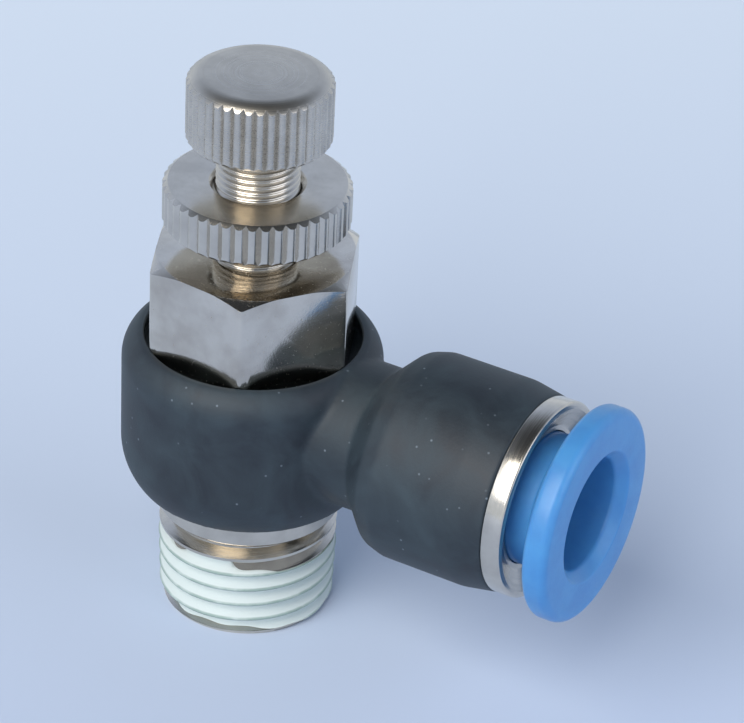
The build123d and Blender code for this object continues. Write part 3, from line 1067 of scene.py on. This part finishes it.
class VALVE_OT_adjusting_knob(bpy.types.Operator):
    """Knurl the adjusting knob and turn its conical crown"""

    bl_idname = "valve.adjusting_knob"
    bl_label = "Adjusting knob"

    def execute(self, context):
        sizes = context.scene.valve_sizes
        low, high = corners("adjusting_knob")
        radius = high.x
        knob = knurled_bar(
            "adjusting_knob",
            radius,
            sizes.knob_grooves,
            sizes.knob_groove / MM,
            low.z - 1,
            high.z + 1,
        )
        hole_r, crown_r = 2.33, 4.66
        envelope = turned(
            "envelope",
            [
                (0, low.z + KNOB_HOLE_DEPTH),
                (hole_r, low.z + KNOB_HOLE_DEPTH),
                (hole_r, low.z),
                (radius - 0.28, low.z, 0.05),
                (radius + 0.08, low.z + 0.36),
                (radius + 0.08, high.z - 0.74),
                (radius - 0.02, high.z - 0.64, 0.12),
                (crown_r, high.z - 0.05, 1.50),
                (0, high.z),
            ],
        )
        combine(knob, envelope, "INTERSECT")
        material = turned_nickel("turned_nickel_on_knob", "D0C9BD", 0.30, 0.012)
        finish_piece(knob, "adjusting_knob", material)
        return {"FINISHED"}


class VALVE_OT_needle(bpy.types.Operator):
    """Cut the needle's fine thread and turn its piston and tip"""

    bl_idname = "valve.needle"
    bl_label = "Needle"

    def execute(self, context):
        low, high = corners("needle")
        thread_low = 25.35
        thread_high = high.z - KNOB_HOLE_DEPTH
        needle = threaded_rod(
            "needle",
            NEEDLE_THREAD_R,
            NEEDLE_THREAD_DEPTH,
            NEEDLE_PITCH,
            low=thread_low,
            high=thread_high,
            sharpness=1.25,
        )
        envelope = turned(
            "envelope",
            [
                (0, thread_low),
                (NEEDLE_THREAD_R + 0.1, thread_low),
                (NEEDLE_THREAD_R + 0.1, thread_high - 0.02),
                (0, thread_high - 0.02),
            ],
            steps=96,
        )
        combine(needle, envelope, "INTERSECT")
        tip_r, seat_r, shaft_r = 1.45, 2.14, 2.71
        root_r = NEEDLE_THREAD_R - NEEDLE_THREAD_DEPTH
        tip_end = low.z + 2.99
        piston_r = SHANK_BORE_R - RUNNING_GAP
        piston_low = thread_low - 2.61
        groove_r = piston_r - 0.79
        groove_low, groove_high = thread_low - 1.865, thread_low - 0.745
        tip = turned(
            "tip",
            [
                (0, low.z),
                (tip_r - 0.15, low.z),
                (tip_r, low.z + 0.15),
                (seat_r, tip_end - 0.35),
                (seat_r, tip_end),
                (shaft_r, tip_end),
                (shaft_r, piston_low - 0.30),
                (piston_r, piston_low),
                (piston_r, groove_low),
                (groove_r, groove_low),
                (groove_r, groove_high),
                (piston_r, groove_high),
                (piston_r, thread_low),
                (root_r - 0.02, thread_low + 0.10),
                (0, thread_low + 0.10),
            ],
            steps=96,
        )
        combine(needle, tip, "UNION")
        material = turned_nickel("nickel_on_fine_thread", "D0C8BB", 0.20, 0.02)
        finish_piece(needle, "needle", material, 50)
        return {"FINISHED"}


class VALVE_OT_guide_ring(bpy.types.Operator):
    """Turn the plated guide ring at the socket's mouth"""

    bl_idname = "valve.guide_ring"
    bl_label = "Guide ring"

    def execute(self, context):
        low, high = corners("guide_ring")
        flange_r = high.z - ARM_Z
        flange_back = corners("elbow_housing")[1].x
        mouth_r, mouth_root_r, mouth_floor = 6.74, 5.27, high.x - 0.79
        bore_r = NOSE_R + RUNNING_GAP
        barb_room_r, barb_stop = SPIGOT_R - 1, high.x - 3.17
        ring = turned(
            "guide_ring",
            [
                (barb_room_r, low.x),
                (SPIGOT_R, low.x, 0.1),
                (SPIGOT_R, flange_back),
                (flange_r, flange_back, 0.06),
                (flange_r, high.x, 0.24),
                (mouth_r, high.x, 0.10),
                (mouth_root_r, mouth_floor, 0.08),
                (bore_r, mouth_floor, 0.05),
                (bore_r, barb_stop),
                (barb_room_r, barb_stop),
            ],
            steps=160,
            along_arm=True,
            hollow=True,
        )
        material = turned_nickel(
            "turned_nickel_on_guide_ring", "D4CDC1", 0.18, 0.04, along_arm=True
        )
        finish_piece(ring, "guide_ring", material)
        return {"FINISHED"}


class VALVE_OT_release_ring(bpy.types.Operator):
    """Mould the blue release ring with its barbed nose and rounded flange"""

    bl_idname = "valve.release_ring"
    bl_label = "Release ring"

    def execute(self, context):
        low, high = corners("release_ring")
        flange_r = high.z - ARM_Z
        flange_back = high.x - 1.87
        inner_r = TUBE_R + 0.05
        barb_r = NOSE_R + 0.40
        barb_front = corners("guide_ring")[1].x - 3.27
        neck_foot_r = 6.40
        flare = 0.75
        ring = turned(
            "release_ring",
            [
                (inner_r, low.x),
                (NOSE_R - 0.30, low.x, 0.1),
                (NOSE_R, barb_front - 0.75, 0.1),
                (barb_r, barb_front - 0.30, 0.1),
                (barb_r, barb_front, 0.05),
                (NOSE_R, barb_front),
                (NOSE_R, flange_back - 1.05, 0.3),
                (neck_foot_r, flange_back, 0.2),
                (flange_r, flange_back, 0.48),
                (flange_r, high.x, 0.66),
                (inner_r + flare, high.x, 0.30),
                (inner_r, high.x - flare, 0.5),
            ],
            steps=160,
            along_arm=True,
            hollow=True,
            arc_steps=7,
        )
        material = plain_resin(
            "moulded_blue_acetal",
            context.scene.valve_colours.release_blue,
            "4585C1",
            roughness=0.34,
            grain_mm=0.25,
            grain_height=0.012,
            scatter=0.25,
            ior=1.48,
        )
        finish_piece(ring, "release_ring", material)
        return {"FINISHED"}


class VALVE_OT_inner_pieces(bpy.types.Operator):
    """Give the pieces inside the valve, which keep their solids, their finishes"""

    bl_idname = "valve.inner_pieces"
    bl_label = "Inner pieces"

    def execute(self, context):
        rubber = plain_resin("nitrile_rubber", "1B1B1C", "131314", 0.62, 0.15, 0.02, ior=1.52)
        brass = turned_nickel("turned_brass", "C9A55C", 0.24, 0.03)
        steel = turned_nickel("stamped_spring_steel", "B9BABA", 0.28, 0.02, along_arm=True)
        resin = plain_resin(
            "natural_acetal_resin", "D8D3C6", "CBC6B8", 0.40, 0.3, 0.02, scatter=0.3
        )
        finishes = {
            "seat_ring": brass,
            "lower_o_ring": rubber,
            "upper_o_ring": rubber,
            "needle_o_ring": rubber,
            "check_seal": rubber,
            "tube_seal": rubber,
            "claw_ring": steel,
            "claw_spacer": resin,
        }
        for node, material in finishes.items():
            solid = frame["nodes"][node]
            solid.data.materials.clear()
            solid.data.materials.append(material)
        return {"FINISHED"}


class VALVE_OT_stage(bpy.types.Operator):
    """Lay the pale floor, hang the soft lamps and set the camera"""

    bl_idname = "valve.stage"
    bl_label = "Stage"

    def execute(self, context):
        self.lay_floor(context)
        self.hang_lamps(context)
        self.set_world(context)
        self.set_camera(context)
        context.scene.view_settings.view_transform = "Standard"
        return {"FINISHED"}

    @staticmethod
    def lay_floor(context):
        deselect_all()
        bpy.ops.mesh.primitive_circle_add(
            vertices=128, radius=3.0, fill_type="NGON", location=(0, 0, 0)
        )
        floor = context.object
        floor.name = floor.data.name = "floor"
        material, tree, shader, place = new_material("pale_floor_painted_light_gradient")
        # Painted light: the floor's colour runs from the darker near colour to the paler far
        # colour along a line turned 122 degrees, in place of light falling off across the floor
        painted_light_axis = add(
            tree,
            "ShaderNodeMapping",
            {"Vector": place, "Rotation": (0, 0, math.radians(-122))},
        ).outputs["Vector"]
        depth = add(tree, "ShaderNodeSeparateXYZ", {"Vector": painted_light_axis}).outputs["X"]
        tone = add(
            tree,
            "ShaderNodeMapRange",
            {"Value": depth, "From Min": -0.03, "From Max": 0.12},
        ).outputs["Result"]
        ramp = add(tree, "ShaderNodeValToRGB", {"Fac": tone})
        colours = context.scene.valve_colours
        near, far = linear(colours.floor_near_painted_shade), linear(colours.floor_far_painted_light)
        shade = ramp_stops(ramp, (0.0, near), (1.0, far))
        feed(
            tree, shader, {"Base Color": shade, "Roughness": 0.75, "Specular IOR Level": 0.2}
        )
        floor.data.materials.append(material)

    @staticmethod
    def hang_lamps(context):
        aim = Vector((0.005, 0, 0.022))
        lamps = (
            # name, place, size, power, colour
            ("window_softbox", (-0.073, -0.74, 0.68), 0.74, 9.2, "FFFCF6"),
            ("side_fill", (0.72, 0.00, 0.42), 0.60, 1.5, "F2F6FF"),
        )
        for name, place, size, power, colour in lamps:
            light = bpy.data.lights.new(name, "AREA")
            light.shape = "SQUARE"
            light.size = size
            light.energy = power
            light.color = linear(colour)[:3]
            lamp = bpy.data.objects.new(name, light)
            lamp.location = place
            lamp.rotation_euler = (aim - Vector(place)).to_track_quat("-Z", "Y").to_euler()
            context.scene.collection.objects.link(lamp)

    @staticmethod
    def set_world(context):
        world = bpy.data.worlds.new("soft_room")
        world.use_nodes = True
        context.scene.world = world
        tree = world.node_tree
        tree.nodes.clear()
        direction = add(tree, "ShaderNodeTexCoord").outputs["Generated"]
        upward = add(tree, "ShaderNodeSeparateXYZ", {"Vector": direction}).outputs["Z"]
        room = add(tree, "ShaderNodeValToRGB", {"Fac": upward})
        shade = ramp_stops(
            room,
            (0.0, linear("E4EEFA")),
            (0.35, linear("CAD8EE")),
            (0.55, linear("B9C9E6")),
            (0.78, linear("6A7380")),
            (0.93, linear("3A3E44")),
        )
        soft = add(tree, "ShaderNodeBackground", {"Color": shade, "Strength": 1.0})
        add(tree, "ShaderNodeOutputWorld", {"Surface": soft.outputs["Background"]})

    @staticmethod
    def set_camera(context):
        azimuth, elevation, roll = (math.radians(a) for a in (28.87, 32.04, 2.88))
        distance = 259.56
        target = Vector((7.25, 4.70, 20.01))
        turn = Matrix.Rotation(azimuth, 4, "Z") @ Matrix.Rotation(math.pi / 2 - elevation, 4, "X")
        back = turn.to_3x3() @ Vector((0, 0, 1))
        lens = bpy.data.cameras.new("product_camera")
        lens.sensor_fit = "HORIZONTAL"
        lens.sensor_width = 36
        lens.lens = 173.36
        lens.clip_start = 0.01
        lens.clip_end = 20
        camera = bpy.data.objects.new("product_camera", lens)
        camera.matrix_world = (
            Matrix.Translation((target + back * distance) * MM)
            @ turn
            @ Matrix.Rotation(roll, 4, "Z")
        )
        context.scene.collection.objects.link(camera)
        context.scene.camera = camera


# --------------------------------------------------------------------------- panel
PIECES = (
    VALVE_OT_elbow_housing,
    VALVE_OT_threaded_stem,
    VALVE_OT_thread_sealant,
    VALVE_OT_hex_bonnet,
    VALVE_OT_lock_nut,
    VALVE_OT_adjusting_knob,
    VALVE_OT_needle,
    VALVE_OT_guide_ring,
    VALVE_OT_release_ring,
    VALVE_OT_inner_pieces,
    VALVE_OT_stage,
)


class VALVE_PT_pieces(bpy.types.Panel):
    """Sidebar list of the valve's pieces and sizes"""

    bl_idname = "VALVE_PT_pieces"
    bl_label = "Flow control valve"
    bl_space_type = "VIEW_3D"
    bl_region_type = "UI"
    bl_category = "Valve"

    def draw(self, context):
        for group in (context.scene.valve_sizes, context.scene.valve_colours):
            for name in group.__annotations__:
                self.layout.prop(group, name)
        for operator in PIECES:
            self.layout.operator(operator.bl_idname)


CLASSES = (ValveSizes, ValveColours, *PIECES, VALVE_PT_pieces)


def register():
    """Register the classes and hang the settings on the scene."""
    for cls in CLASSES:
        bpy.utils.register_class(cls)
    bpy.types.Scene.valve_sizes = bpy.props.PointerProperty(type=ValveSizes)
    bpy.types.Scene.valve_colours = bpy.props.PointerProperty(type=ValveColours)


def unregister():
    """Take the settings and the classes away again."""
    del bpy.types.Scene.valve_colours
    del bpy.types.Scene.valve_sizes
    for cls in reversed(CLASSES):
        bpy.utils.unregister_class(cls)


def main():
    register()
    for operator in PIECES:
        family, name = operator.bl_idname.split(".")
        getattr(getattr(bpy.ops, family), name)()


if __name__ == "__main__":
    main()
